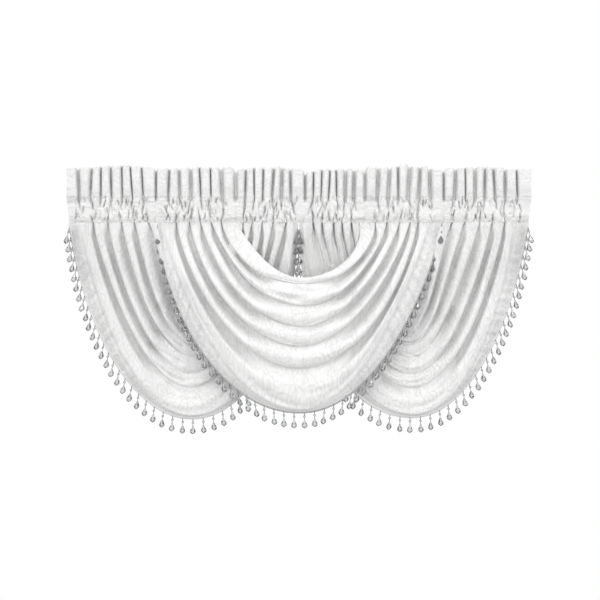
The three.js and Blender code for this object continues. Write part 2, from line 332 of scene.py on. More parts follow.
def jacquard_finish(name):
    material, wire = new_finish(name)
    u, v, figure = jacquard_figure(wire)
    rib = waves(u + v, TURN / RIB_PITCH)
    cross = waves(u - v, TURN / CROSS_PITCH)
    weave = rib * (1 - figure) + cross * figure
    slub = cloth_noise(wire, 130.0, 5.0).ramp(0.33, 0.67, 0.0, 1.0)
    ripple = waves(cloth_noise(wire, 14.0, 1.0), WATERED_RATE)
    # painted shade: darker blotches near each sheet's lower edge, for the shadow on a swag's turned-back hem
    painted_hem_shade = cloth_noise(wire, 170.0, 2.0).ramp(0.4, 0.6, 0.1, 0.75) * v.ramp(*PAINTED_SHADE_BAND, 1.0, 0.0)
    shade = slub * 0.32 + ripple * 0.28 + weave * 0.1 + (1 - figure) * 0.3 - painted_hem_shade
    height = figure * 0.8 + weave * 0.2 + slub * 0.15 + ripple * 0.3
    raised = wire.make("ShaderNodeBump", {}, {"Strength": 0.9, "Distance": 0.0007, "Height": height})
    close_finish(wire, {
        "Base Color": shade.tint((0.68, 0.68, 0.676), (0.9, 0.9, 0.895)),
        "Roughness": figure.ramp(0, 1, 0.38, 0.3) + weave * 0.04,
        "Normal": raised,
        "Specular IOR Level": 0.8,
        "Sheen Weight": 0.2,
        "Sheen Roughness": 0.4,
    })
    return material


white_jacquard = jacquard_finish("white_jacquard")
print("nodes in the jacquard:", len(white_jacquard.node_tree.nodes))

# %% [markdown]
# ## The fringe's finishes
# The beads are clear acrylic. Before white they would vanish if they were quite clean and the light quite
# even, but real ones read as grey, with dark rims, because they bend in the darker parts of a room. The
# sky that only rays through the beads see gives them that, and a faint cloudiness in colour and roughness
# keeps them from looking like window glass. Their threads are dark grey. The woven tape that carries them
# is white, and on the centre swag it is made grey instead, as painted shade for the shadow under that hem.
# Yarn and tape need only a fine twill, so one wave in the piece's own coordinates does for both.

# %% Bead, thread and tape finishes


def bead_finish():
    material, wire = new_finish("clear_bead")
    spot = wire.make("ShaderNodeTexCoord", out="Object")
    cloud = wire.make("ShaderNodeTexNoise", {}, {"Vector": spot, "Scale": 160.0, "Detail": 2.0})
    close_finish(wire, {
        "Base Color": cloud.tint((0.74, 0.76, 0.77), (0.93, 0.94, 0.95)),
        "Roughness": cloud.ramp(0.3, 0.7, 0.02, 0.1),
        "IOR": 1.5,
        "Transmission Weight": 0.92,
    })
    return material


def yarn_finish(name, dark, light, pitch):
    material, wire = new_finish(name)
    spot = wire.make("ShaderNodeTexCoord", out="Object")
    x = wire.make("ShaderNodeSeparateXYZ", {}, {0: spot}, "X")
    ply = waves(x + x.other("Z"), TURN / pitch)
    raised = wire.make("ShaderNodeBump", {}, {"Strength": 0.6, "Distance": 0.0003, "Height": ply})
    close_finish(wire, {"Base Color": ply.tint(dark, light), "Roughness": 0.75, "Normal": raised})
    return material


clear_bead = bead_finish()
grey_thread = yarn_finish("grey_thread", (0.06, 0.06, 0.062), (0.16, 0.16, 0.165), 0.0012)
white_tape = yarn_finish("white_tape", (0.7, 0.7, 0.697), (0.86, 0.86, 0.856), 0.0018)
# painted shade: the same white tape made grey, for the shadow under the centre swag's hem
painted_shade_tape = yarn_finish("painted_shade_tape", (0.4, 0.4, 0.398), (0.56, 0.56, 0.557), 0.0018)
print("fringe finishes:", [m.name for m in (clear_bead, grey_thread, white_tape, painted_shade_tape)])

# %% [markdown]
# ## The swags' fold lines
# A swag is set out by its fold lines, as a draper sets it out on a board: the dip edge at the top, each
# valley below it, the lip where the cloth turns back, and the hem. A line starts at one heading, falls to
# its lowest point and rises to the other. The tables give each line in millimetres. They follow those
# that the solids were made from, so that the cloth hangs where the solids do, with the places and depths
# of some lines brought nearer to the picture.

# %% Tables of the fold lines
# the height of a heading's lower seam, and how deep and how far forward the folds start there
SEAM_Z = -40.4
SEAM_FOLD = 18
SEAM_FORWARD = 4
COLUMNS = ["left_x", "low_x", "low_z", "right_x", "head_fold", "mid_fold", "swell", "left_sag", "right_sag"]
SWAGS = {
    "left": [
        (-464, -339, -365, -197, 20, 5, -20, 3.4, 3),
        (-480.5, -340, -393.6, -180, 25, 5, -21, 2.9, 1.6),
        (-526.5, -341, -430, -150, 26, 5, -22, 1.92, 2.02),
        (-566, -342, -468, -118, 26, 5, -23, 1.76, 1.71),
        (-612, -343, -520, -83, 26, 5, -24, 1.73, 1.83),
        (-657, -344, -568, -42, 22, 9, -24, 1.77, 1.97),
        (-694, -345, -658, -17, 24, 20, -24, 1.47, 1.15),
        (-729.6, -345.6, -665, -6, 24, 20, -24, 1.3, 1),
    ],
    "centre": [
        (-200, 8, -217, 200, 20, 5, 38, 2, 0.95),
        (-246, 7, -238, 243, 26, 5, 41, 1.35, 1.1),
        (-280, 6, -305, 281, 27, 15, 44, 1.75, 1.55),
        (-314, 5, -373, 322, 27, 16, 44, 1.65, 1.85),
        (-350, 4, -432, 356, 27, 16, 44, 1.5, 1.8),
        (-391, 3, -504, 378, 24, 28, 44, 1.53, 1.52),
        (-432, 3, -635, 419, 24, 22, 32, 1.6, 1.95),
        (-450, 3, -643, 453, 24, 22, 32, 1.2, 1.55),
    ],
    "right": [
        (192, 340, -300, 462, 20, 5, -20, 3, 2.9),
        (169.6, 354, -393.6, 488, 25, 5, -21, 1.55, 2.8),
        (138, 356, -430, 530, 26, 5, -22, 1.52, 2.62),
        (113, 359, -470, 578, 26, 5, -23, 1.3, 2.3),
        (73, 362, -520, 618, 26, 5, -24, 1.58, 1.93),
        (48, 364, -568, 656, 22, 9, -24, 1.52, 1.72),
        (15, 366, -654, 684, 24, 20, -24, 1.15, 1.35),
        (3, 366, -661, 726.4, 24, 20, -24, 0.9, 1.35),
    ],
}
# how many times as deep as in the table the folds are under a swag's left and right headings
DEEPEN = {"left": (1.6, 1.6), "centre": (1.6, 1.55), "right": (0.25, 1.6)}
HEM = len(SWAGS["left"]) - 1
LIP = HEM - 1
print("lines in a swag:", HEM + 1)

# %% [markdown]
# ## The section of a fold
# Between two valleys the cloth makes a ridge. Right under a heading's seam the ridges are pinched close.
# Below that they are deep pleats with a flat floor between them, further along they slant over, and
# in the middle they open out to shallow, rounded rolls. Each of the four sections is drawn by a few
# points, from one valley to the next: the share of the way across, and the share of the depth. The lower
# side of each drops off sharply, because the ridge above hangs over the valley below it.

# %% Four sections of a ridge
PINCH = np.array([(0, 0), (0.02, 0.06), (0.05, 0.3), (0.09, 0.62), (0.16, 0.84), (0.3, 0.95), (0.5, 1),
                  (0.78, 1), (0.94, 0.86), (0.99, 0.4), (1, 0)])
PLEAT = np.array([(0, 0), (0.1, 0), (0.26, 0), (0.36, 0.04), (0.43, 0.5), (0.5, 0.92), (0.64, 1),
                  (0.86, 0.98), (0.985, 0.8), (1.005, 0.3), (1, 0)])
SIDE = np.array([(0, 0), (0.12, 0), (0.26, 0.03), (0.38, 0.2), (0.52, 0.5), (0.66, 0.78), (0.8, 0.96),
                 (0.92, 1), (1.02, 0.75), (1.01, 0.25), (1, 0)])
ROLL = np.array([(0, 0), (0.07, 0.06), (0.16, 0.24), (0.27, 0.52), (0.39, 0.8), (0.52, 0.97), (0.66, 0.98),
                 (0.8, 0.8), (0.9, 0.64), (0.97, 0.5), (1, 0)])


def soft_step(start, end, x):
    t = np.clip((x - start) / (end - start), 0, 1)
    return t * t * (3 - 2 * t)


def along_curve(points, share):
    """A smooth curve through the points, at a share of the way along it."""
    place = np.clip(share, 0, 1) * (len(points) - 1)
    first = np.minimum(place.astype(int), len(points) - 2)
    t = (place - first)[..., None]
    padded = np.vstack([2 * points[0] - points[1], points, 2 * points[-1] - points[-2]])
    a, b, c, d = (padded[first + k] for k in range(4))
    return b + 0.5 * t * (c - a + t * (2 * a - 5 * b + 4 * c - d + t * (3 * (b - c) + d - a)))


print("points in a section:", len(PLEAT))

# %% [markdown]
# ## A point of a swag
# down counts the fold lines from the dip edge to the hem, and along runs from -1 at the left heading to 1
# at the right one. The lines are mixed to the place that the section asks for, and the section's height
# comes forward from there. Real folds are never quite even, so each wanders a little.

# %% The ridge at a place
# the share of its ridge at which the dip edge starts, and how far back the lip turns
DIP_START = 0.42
LIP_BACK = 0.35
# how far below the seam the ridges stay pinched, in millimetres
PINCHED = 55.0
# fall is 0 at a heading and 1 in the middle: where the pleats slant over, how much later every other one
# does so, and where the ridges open out
SLANTS = (0.2, 0.5)
LATER = 0.3
OPENS = 0.88


def last_folds(cell, across, pinch, open_out, rise):
    """The heights of the panel above the lip, which has one broad bulge, and of the hem that turns back."""
    panel = soft_step(0.3 - 0.3 * pinch, 0.46 - 0.2 * pinch, across) * (1 - open_out)
    bulge = soft_step(0, 0.55, across) - LIP_BACK * soft_step(0.45, 1, across)
    panel = panel + bulge * open_out
    rise = np.where(cell == LIP - 1, panel, rise)
    band = (1 - LIP_BACK * open_out) * (1 - 0.85 * across ** 0.6 * (1 - pinch))
    return np.where(cell == LIP, band, rise)


def section(down, fall, below):
    """The place among the fold lines, and the height of the ridge there."""
    cell = np.minimum(np.floor(down), HEM - 1)
    across = down - cell
    later = LATER * (cell % 2 == 0)
    open_out = soft_step(OPENS, 1, fall)
    pinch = (1 - soft_step(0, PINCHED, below)) * (1 - open_out)
    tight = (1 - soft_step(SLANTS[0] + later, SLANTS[1] + later, fall)) * (1 - pinch - open_out)

    def curve(share):
        side = 1 - pinch - tight - open_out
        parts = ((PINCH, pinch), (PLEAT, tight), (SIDE, side), (ROLL, open_out))
        return sum(along_curve(points, share) * weight[..., None] for points, weight in parts)

    share = np.where(cell == 0, DIP_START + (1 - DIP_START) * across, across)
    width, rise = np.moveaxis(curve(share), -1, 0)
    dip = curve(np.full_like(share, DIP_START))[..., 0]
    width = np.where(cell == 0, (width - dip) / (1 - dip), width)
    width = np.where(cell >= LIP - 1, across, width)
    return cell + width, last_folds(cell, across, pinch, open_out, rise)


print("ridges stay pinched for", PINCHED, "mm")

# %% From the fold lines to a point
# how far below the seam the cloth comes to its full swell, in millimetres
SWELL_OVER = 210.0
# how far the folds wander, as a share of the way to the next one
WANDER = 0.05


def fold_line(rows, place):
    """The columns of the table, mixed to a place between two lines."""
    table = np.array(rows, float)
    lines = np.arange(len(rows))
    return {name: np.interp(place, lines, table[:, i]) for i, name in enumerate(COLUMNS)}


def swag_point(side_name, down, along):
    """Points in millimetres, x, y and z in the last axis."""
    rows = SWAGS[side_name]
    down, along = np.broadcast_arrays(np.asarray(down, float), np.asarray(along, float))
    turn = (1 - abs(along)) * math.pi / 2
    fall = np.sin(turn)
    line = fold_line(rows, down)
    below = (SEAM_Z - line["low_z"]) * fall ** np.where(along < 0, line["left_sag"], line["right_sag"])
    place, rise = section(down, fall, below)
    loose = soft_step(0, 1.2, down) * (1 - soft_step(LIP - 1.6, LIP - 0.4, down))
    place = place + WANDER * loose * np.sin(7 * along + 2.1 * down) * np.sin(3.3 * along - 1.3 * down)
    line = fold_line(rows, place)
    anchor = np.where(along < 0, line["left_x"], line["right_x"])
    sag = np.where(along < 0, line["left_sag"], line["right_sag"])
    deepen = np.where(along < 0, *DEEPEN[side_name])
    by_heading = SEAM_FOLD + (deepen * line["head_fold"] - SEAM_FOLD) * soft_step(0, 2.5 * PINCHED, below)
    depth = by_heading + (line["mid_fold"] - by_heading) * soft_step(0.87, 1, fall)
    swell = line["swell"] * soft_step(0, SWELL_OVER, below)
    forward = swell + SEAM_FORWARD * (1 - soft_step(0, 2 * PINCHED, below))
    x = line["low_x"] + (anchor - line["low_x"]) * np.cos(turn)
    y = -forward - depth * (rise - 0.5)
    z = SEAM_Z + (line["low_z"] - SEAM_Z) * fall ** sag
    return np.stack([x, y, z], -1)


print("lowest point of the left swag:", swag_point("left", HEM, 0).round(1))

# %% [markdown]
# ## Swag sheets
# Cloth could be simulated, but a swag is pinned into shape by hand, and a simulation would lose the lines
# just set out. So a flat grid is made with create_grid and each of its points is carried to its place on
# the swag. One pass of smooth_vert softens the sharpest lines, and a Solidify modifier gives the cloth its
# thickness. The UV map is in metres too: along the cloth from its middle, and up from its lower edge.

# %% A grid carried on to a surface
# the cloth's thickness, and how far smooth_vert takes a point towards its neighbours
CLOTH = 1.4 * MM
SOFTEN = 0.3


def cloth_grid(name, surface, finish):
    """A sheet from rows and columns of points in millimetres, with a UV map in metres."""
    rows, columns = surface.shape[:2]
    bm = bmesh.new()
    bmesh.ops.create_grid(bm, x_segments=columns - 1, y_segments=rows - 1, size=1)
    metres = surface * MM
    sideways = np.linalg.norm(np.diff(metres, axis=1), axis=2)
    downward = np.linalg.norm(np.diff(metres, axis=0), axis=2).mean(1)
    u = np.hstack([np.zeros((rows, 1)), sideways.cumsum(1)])
    u -= u[:, columns // 2][:, None]
    v = np.append(0, downward.cumsum())
    spots = {}
    for vert in bm.verts:
        i = round((1 - vert.co.y) / 2 * (rows - 1))
        j = round((vert.co.x + 1) / 2 * (columns - 1))
        spots[vert] = (u[i, j], v[-1] - v[i])
        vert.co = metres[i, j]
    layer = bm.loops.layers.uv.new("cloth")
    for face in bm.faces:
        face.smooth = True
        for loop in face.loops:
            loop[layer].uv = spots[loop.vert]
    for edge in bm.edges:
        edge.smooth = not edge.is_boundary
    inner = [vert for vert in bm.verts if not vert.is_boundary]
    bmesh.ops.smooth_vert(bm, verts=inner, factor=SOFTEN, use_axis_x=True, use_axis_y=True,
                          use_axis_z=True)
    mesh = bpy.data.meshes.new(name)
    bm.to_mesh(mesh)
    bm.free()
    mesh.materials.append(finish)
    piece = bpy.data.objects.new(name, mesh)
    bpy.context.scene.collection.objects.link(piece)
    wall = piece.modifiers.new("cloth", "SOLIDIFY")
    wall.thickness = CLOTH
    wall.offset = 0
    area = sum(face.area for face in mesh.polygons)
    print(name, "has", len(mesh.polygons), "faces,", round(area, 3), "m2, and is at most",
          np.ptp(u, axis=1).max().round(3), "m by", v[-1].round(3), "m")
    return piece, area


print("cloth is", round(CLOTH / MM, 1), "mm thick")

# %% [markdown]
# ## Gathers and creases
# Cloth is never as smooth as its section. Stitches draw in short puckers along a seam, and gathers run
# down from it. Where the cloth hangs free it has soft creases along its folds, the turned hem lies uneven,
# and here and there a hand has set a crease. Each could be sculpted with a brush. Here each is a small
# push along y, worked out for the whole grid at once, so it stays easy to change. The chance ones come
# from a seed, so that every run gives the same cloth.

# %% Puckers and gathers
# how deep the puckers are at a heading's lower and upper seam, how deep the gathers are, and how far
# each takes to fade, in millimetres
LOWER_PUCKER = 0.6
UPPER_PUCKER = 1.9
PUCKER_FADE = 5
GATHER = 2.0
GATHER_FADE = 24


def puckers(x, z):
    """Short ripples that the stitches of a heading's two seams draw in."""
    lower = LOWER_PUCKER * np.exp(-abs(z - SEAM_Z) / PUCKER_FADE)
    upper = UPPER_PUCKER * np.exp(-abs(z + SEAM_Z) / PUCKER_FADE)
    return (lower + upper) * np.sin(x / 1.15 + 2.5 * np.sin(x / 13) + z / 9)


def gathers(points):
    """Longer ripples that run down from the seam."""
    x, z = points[..., 0], points[..., 2]
    below = SEAM_Z - z
    ripple = np.sin(x / 1.75 + 2.2 * np.sin(x / 19) + 1.4 * np.sin(x / 7.3))
    return GATHER * np.exp(-below / GATHER_FADE) * soft_step(0, 6, below) * ripple + puckers(x, z)


print("puckers of", LOWER_PUCKER, "and", UPPER_PUCKER, "mm, gathers of", GATHER, "mm")

# %% Fine creases and the hem
# how many creases a swag has, and how deep the groove under its dip edge is, in millimetres
CREASES = 130
DIP_GROOVE = 1.2


def fine_creases(down, along, seed):
    """Soft strokes that lie along the folds, most of them where the cloth hangs free in the middle."""
    rng = np.random.default_rng(seed)
    back = np.zeros(np.broadcast_shapes(down.shape, along.shape))
    for _ in range(CREASES):
        d, a = rng.uniform(0.6, LIP), np.clip(rng.normal(0, 0.28), -0.65, 0.65)
        drift, half, width = rng.uniform(-0.6, 0.6), rng.uniform(0.05, 0.16), rng.uniform(0.05, 0.11)
        line = (down - d - drift * (along - a)) / width
        back += rng.uniform(-5.0, 7.0) * np.exp(-line ** 2 - ((along - a) / half) ** 2)
    return back


def hem_ruffle(down, along):
    """The turned hem lies uneven, with a stitched groove between it and the panel above."""
    uneven = np.sin(163 * along + 3 * np.sin(21 * along)) * np.sin(47 * along + 1.3)
    fall = np.cos(along * math.pi / 2)
    upright = soft_step(0.1, 0.5, fall) * (1 - soft_step(0.8, 0.98, fall))
    groove = (7 + 5 * uneven) * np.exp(-((down - LIP - 0.1) / 0.16) ** 2)
    return upright * (groove + 3.5 * uneven * soft_step(LIP, LIP + 0.5, down))


def dip_groove(down):
    """The stitched groove just under the dip edge."""
    return DIP_GROOVE * np.exp(-((down - 0.5) / 0.12) ** 2)


print("fine creases in a swag:", CREASES)

# %% Creases set by hand
# where each starts and ends in x and z, its depth and its half width
HAND_CREASES = {
    "left": [(-452, -310, -366, -380, 8, 8), (-470, -376, -373, -432, 8, 8), (-476, -430, -385, -486, 8, 8),
             (-420, -560, -395, -590, 7, 10)],
    "centre": [],
    "right": [(486, -323, 421, -425, 10, 9), (267, -546, 320, -582, 12, 9), (345, -460, 385, -470, 5, 4),
              (45, -46, 60, -94, 10, 3), (60, -94, 88, -199, 10, 3), (74, -46, 80, -85, 9, 3),
              (80, -85, 105, -174, 10, 3), (110, -46, 115, -85, 12, 4), (115, -85, 137, -173, 12, 3.5),
              (138, -46, 144, -90, 10, 3), (144, -90, 159, -153, 10, 3), (167.5, -46, 183, -121, 10, 3),
              (192, -46, 194, -94, 7, 3)],
}


def hand_creases(points, creases):
    """Troughs along straight lines, for the creases that a hand has set."""
    back = np.zeros(points.shape[:2])
    for x0, z0, x1, z1, depth, width in creases:
        dx, dz = x1 - x0, z1 - z0
        along = ((points[..., 0] - x0) * dx + (points[..., 2] - z0) * dz) / (dx * dx + dz * dz)
        off = np.hypot(points[..., 0] - x0 - np.clip(along, 0, 1) * dx,
                       points[..., 2] - z0 - np.clip(along, 0, 1) * dz)
        back = np.maximum(back, depth * np.exp(-(off / width) ** 2))
    return back


print("creases set by hand:", {name: len(creases) for name, creases in HAND_CREASES.items()})

# %% The three swags
STEPS_ALONG = 270
STEPS_DOWN = [24] * (LIP - 1) + [22, 9]
down_steps = np.append(np.concatenate([k + np.arange(n) / n for k, n in enumerate(STEPS_DOWN)]), HEM)
along_steps = np.linspace(-1, 1, STEPS_ALONG + 1)
swags = {}
for number, side_name in enumerate(SWAGS):
    down, along = down_steps[:, None], along_steps[None, :]
    surface = swag_point(side_name, down, along)
    surface[..., 1] += hand_creases(surface, HAND_CREASES[side_name])
    surface[..., 1] += fine_creases(down, along, number) + hem_ruffle(down, along)
    surface[..., 1] += gathers(surface)
    surface[..., 1] += dip_groove(down)
    front, rear = surface[..., 1].min(), surface[..., 1].max()
    print(side_name, "lies from", front.round(1), "to", rear.round(1), "mm in y")
    swags[side_name] = cloth_grid(f"swag_cloth_{side_name}", surface, white_jacquard)

# %% [markdown]
# ## Headings
# Each heading is one strip of cloth, folded over at the top and sewn twice: the lower seam joins it to the
# swag and closes the pocket for the rod, and the upper seam leaves a ruffle standing above the pocket. The
# strip could be gathered by a cloth simulation, but the pleats would then fall where they like. So it is
# drawn as a path round that section, repeated at many columns along the rod. Its pleats stand at the
# places listed, and the valleys between them lean a little this way and that.

# %% Table of the headings
# half the height of the pocket between its two seams, in millimetres
POCKET_HALF = 40.0
# where each heading starts and ends, the places of its pleats, and the heights of their tops
HEADINGS = {
    "heading_left_outer": (-742.4, -458.6, [-723, -684.8, -651.2, -617.6, -582.4, -548.8, -516.8, -480],
                           [134, 137, 138, 141, 141, 143, 141, 137]),
    "heading_centre_left": (-458.6, -203.2, [-436.8, -400, -363.2, -328, -299.2, -264, -227.2],
                            [134, 132, 134, 137, 138, 135, 137]),
    "heading_left_inner": (-203.2, 17.6, [-187.2, -156.8, -129.6, -102.4, -70.4, -43.2, -9.6],
                           [131, 134, 137, 134, 140, 134, 131]),
    "heading_right_inner": (17.6, 210.6, [32, 59.2, 81.6, 107.2, 134.4, 160, 188.8],
                            [122, 128, 131, 128, 131, 131, 129]),
    "heading_centre_right": (210.6, 461.8, [232, 268.8, 300.8, 334.4, 363.2, 401.6, 440],
                             [140, 135, 137, 147, 138, 141, 129]),
    "heading_right_outer": (461.8, 742.4, [480, 515.2, 550.4, 576, 611.2, 643.2, 675.2, 723],
                            [134, 134, 137, 138, 138, 134, 131, 131]),
}
# the swag that hangs from each heading, and which of its ends
HUNG_FROM = {
    "heading_left_outer": ("left", -1), "heading_left_inner": ("left", 1),
    "heading_centre_left": ("centre", -1), "heading_centre_right": ("centre", 1),
    "heading_right_inner": ("right", -1), "heading_right_outer": ("right", 1),
}
# the outer headings, which end in a tab at the set's own end
TABS = {"heading_left_outer": "left", "heading_right_outer": "right"}
print("pleats:", sum(len(ridges) for _, _, ridges, _ in HEADINGS.values()))

# %% Columns and pleats of a heading
# columns in a pleat, and the gap that a heading leaves at each of its ends, in millimetres
STEPS_PER_PLEAT = 26
END_GAP = 0.2


def pleat_columns(start, end, ridges):
    """The valleys between the pleats, and columns that crowd together in the valleys."""
    middles = [(a + b) / 2 for a, b in zip(ridges, ridges[1:])]
    valleys = np.array([start + END_GAP, *middles, end - END_GAP])
    t = np.arange(STEPS_PER_PLEAT) / STEPS_PER_PLEAT
    t = 0.5 * t + 0.5 * (0.5 - 0.5 * np.cos(math.pi * t))
    places = [a + (b - a) * t for a, b in zip(valleys, valleys[1:])]
    return valleys, np.append(np.concatenate(places), valleys[-1])


def pleat_height(x, valleys, floors, sides, tab):
    """1 on a pleat and 0 in a valley, with steep rounded sides. A tab has no side at the set's end."""
    height = np.ones_like(x)
    for k, (valley, floor_half, side_width) in enumerate(zip(valleys, floors, sides)):
        if (k == 0 and tab == "left") or (k == len(valleys) - 1 and tab == "right"):
            continue
        t = np.clip((abs(x - valley) - floor_half) / side_width, 0, 1)
        height = np.minimum(height, np.sqrt(1 - (1 - t) ** 2))
    return height


example_start, example_end, example_ridges, _ = HEADINGS["heading_left_outer"]
example_columns = pleat_columns(example_start, example_end, example_ridges)[1]
print("columns in the left outer heading:", len(example_columns))

# %% [markdown]
# ## Creases of a pocket
# Where a pleat or a fold ends at a seam it presses a crease in to the pocket, and between these the
# gathered cloth is full of short ones. A crease is one stroke: it starts at a foot, runs up or down at a
# slant and fades out. Drawing each by hand would take days, so their numbers are drawn between limits.

# %% Strokes
# the limits of a stroke's slant, reach, depth and width, for those at a seam and for the loose ones
SEAM_STROKE = ((-0.3, 0.3), (35, 75), (10, 16), (2.5, 3.8))
LOOSE_STROKE = ((-0.4, 0.4), (16, 44), (-7, 15), (1.8, 3.0))
# how far apart the loose ones are, how far from a heading's ends they keep, and the most a crease sinks
LOOSE_PITCH = 3.2
LOOSE_INSET = 24
DEEPEST = 18


def pocket_creases(rng, upper_feet, lower_feet, start, end):
    """Strokes with a foot at x and z, a way up or down, and a slant, reach, depth and width."""
    strokes = []
    for feet, foot_z, way in ((upper_feet, POCKET_HALF, -1), (lower_feet, -POCKET_HALF, 1)):
        for foot_x in feet:
            drawn = [rng.uniform(*limits) for limits in SEAM_STROKE]
            strokes.append((foot_x, foot_z, way, *drawn))
    loose = int((end - start) / LOOSE_PITCH)
    for foot_x in rng.uniform(start + LOOSE_INSET, end - LOOSE_INSET, loose):
        foot_z = rng.choice([-1, 1]) * rng.uniform(8, 42)
        way = rng.choice([-1, 1])
        drawn = [rng.uniform(*limits) for limits in LOOSE_STROKE]
        strokes.append((foot_x, foot_z, way, *drawn))
    return strokes


def hollow(strokes, x, z):
    """How far the creases sink the cloth at a place."""
    total = np.zeros_like(x)
    for foot_x, foot_z, way, slant, reach, depth, width in strokes:
        far = (z - foot_z) * way
        gap = x - foot_x - slant * far
        fade = soft_step(-4, 2, far) * (1 - soft_step(0.4 * reach, reach, far))
        total += depth * fade * np.exp(-(gap / width) ** 2)
    return np.minimum(total, DEEPEST)


print("loose creases in the left outer heading:", int((example_end - example_start) / LOOSE_PITCH))

# %% Top, ends and seam of a heading
# how far a tab narrows towards its foot, and over what length, in millimetres
TAB_TAPER = 9.0
TAB_LENGTH = 30


def ruffle_top(name, columns, height):
    """How high the ruffle stands: lower in the valleys and where it meets its neighbour."""
    start, end, ridges, tops = HEADINGS[name]
    inner_ends = [x for x, side in ((start, "left"), (end, "right")) if side != TABS.get(name)]
    notch = sum(7 * np.exp(-((columns - x) / 8) ** 2) for x in inner_ends)
    return np.interp(columns, ridges, tops) - 4 * (1 - height) - notch


def tab_taper(name, columns):
    """How far a column moves in at its foot, if it is part of a tab."""
    start, end = HEADINGS[name][:2]
    from_left = np.clip((start + TAB_LENGTH - columns) / TAB_LENGTH, 0, 1) * (TABS.get(name) == "left")
    from_right = np.clip((columns - end + TAB_LENGTH) / TAB_LENGTH, 0, 1) * (TABS.get(name) == "right")
    return TAB_TAPER * (from_left - from_right)


def seam_line(name, columns):
    """The y of the swag's upper edge at each column, which the lower seam follows."""
    hung = swag_point(HUNG_FROM[name][0], down_steps, HUNG_FROM[name][1])
    order = np.argsort(hung[:, 0])
    return np.interp(columns, hung[order, 0], hung[order, 1])


example_seam = seam_line("heading_left_outer", example_columns)
print("left outer seam lies from", example_seam.min().round(1), "to", example_seam.max().round(1), "mm in y")

# %% The surface of a heading
FRONT_ROWS = 40
RUFFLE_ROWS = 26
BACK_ROWS = 12
# half the gap between the ruffle's two layers, how far the pocket's front stands out, and its puff
HALF_RUFFLE = 1.2
POCKET_FRONT = 8.5
PUFF = 5.0
# half widths of the valleys' floors, widths of the pleats' sides, and how far a valley leans
FLOORS = [0.8, 1.5, 2.3, 3.2, 4.4]
SIDES = (7, 13)
LEANS = (-7, 7)


def ruffle_wave(height, z):
    """How far the ruffle stands forward or back, more towards its top."""
    size = 10.5 + 4 * soft_step(POCKET_HALF, 80, z)
    return size * (1.4 - 2.4 * height)


def heading_surface(name, seed):
    """Rows of points in millimetres, from the back's foot over the top to the front's foot."""
    start, end, ridges, _ = HEADINGS[name]
    rng = np.random.default_rng(seed)
    valleys, columns = pleat_columns(start, end, ridges)
    floors = rng.choice(FLOORS, len(valleys))
    sides = rng.uniform(*SIDES, len(valleys))
    leans = rng.uniform(*LEANS, len(valleys))
    leans[[0, -1]] = 0
    height = pleat_height(columns, valleys, floors, sides, TABS.get(name))
    top = ruffle_top(name, columns, height)
    taper = tab_taper(name, columns)
    lower = seam_line(name, columns)
    side_name, swag_end = HUNG_FROM[name]
    lower_feet = swag_point(side_name, np.arange(1, LIP), swag_end)[:, 0]
    front_creases = pocket_creases(rng, valleys[1:-1], lower_feet, start, end)
    back_creases = pocket_creases(rng, valleys[1:-1], lower_feet, start, end)

    def lean(z):
        return np.interp(columns, valleys, leans) * np.clip((z - POCKET_HALF) / 90, 0, 1)

    def pocket(t, way, creases):
        z = np.full_like(columns, -SEAM_Z * (2 * t - 1))
        foot = 1 - soft_step(0, 0.3, t)
        head = soft_step(0.72, 1, t)
        seams = (lower + 1.5 * (way + 1)) * foot + (ruffle_wave(height, z) + HALF_RUFFLE * way) * head
        puff = POCKET_FRONT * (1 - foot - head) + PUFF * (1 - (2 * t - 1) ** 4) ** 1.6
        y = seams + way * (puff - hollow(creases, columns, z)) + puckers(columns, z)
        return columns + taper * (1 - soft_step(0, 1, t)), y, z

    rows = [pocket(t, -1, front_creases) for t in np.linspace(0, 1, FRONT_ROWS)]
    for t in np.linspace(0, 1, RUFFLE_ROWS)[1:]:
        z = POCKET_HALF + (top - POCKET_HALF) * t
        rows.append((columns + lean(z), ruffle_wave(height, z) - HALF_RUFFLE + puckers(columns, z), z))
    for turn in (0.3, 0.5, 0.7):
        angle = turn * math.pi
        z = top + HALF_RUFFLE * math.sin(angle)
        rows.append((columns + lean(z), ruffle_wave(height, z) - HALF_RUFFLE * math.cos(angle), z))
    for t in np.linspace(1, 0, BACK_ROWS)[:-1]:
        z = POCKET_HALF + (top - POCKET_HALF) * t
        rows.append((columns + lean(z), ruffle_wave(height, z) + HALF_RUFFLE, z))
    rows += [pocket(t, 1, back_creases) for t in np.linspace(1, 0, BACK_ROWS)]
    return np.array(rows).transpose(0, 2, 1)[::-1]


print("rows round a heading:", len(heading_surface("heading_left_outer", 0)))

# %% The six headings
headings = {}
for number, heading_name in enumerate(HEADINGS):
    surface = heading_surface(heading_name, number)
    cloth_name = heading_name.replace("heading", "heading_cloth")
    headings[heading_name] = cloth_grid(cloth_name, surface, white_jacquard)

# %% [markdown]
# ## Bead trims
# The fringe is bought by the metre: a narrow woven tape with a drop every 33 mm. A drop is a thread with a
# small bead, a link and a faceted teardrop. One drop is spun from a profile with six sides and flat faces,
# so that it catches the light as cut acrylic does, and copies of it are hung along each tape. Array and
# Curve modifiers could hang them too, but each drop here leans its own way. The tape is a strip of the
# hem's own line, carried a few millimetres past it.

# %% One drop
DROP_SIDES = 6
# profiles from the top down, by radius and height in millimetres
THREAD = [(0.0, 0.3), (1.2, 0.0), (1.2, -10.5)]
SMALL_BEAD = [(0.5, -8.6), (4.3, -11.4), (4.3, -14.6), (0.5, -17.4)]
LINK = [(1.1, -16.0), (1.1, -21.0)]
TEARDROP = [(0.7, -19.6), (2.8, -26.0), (6.4, -33.0), (10.0, -41.0), (7.4, -46.5), (0.0, -51.0)]


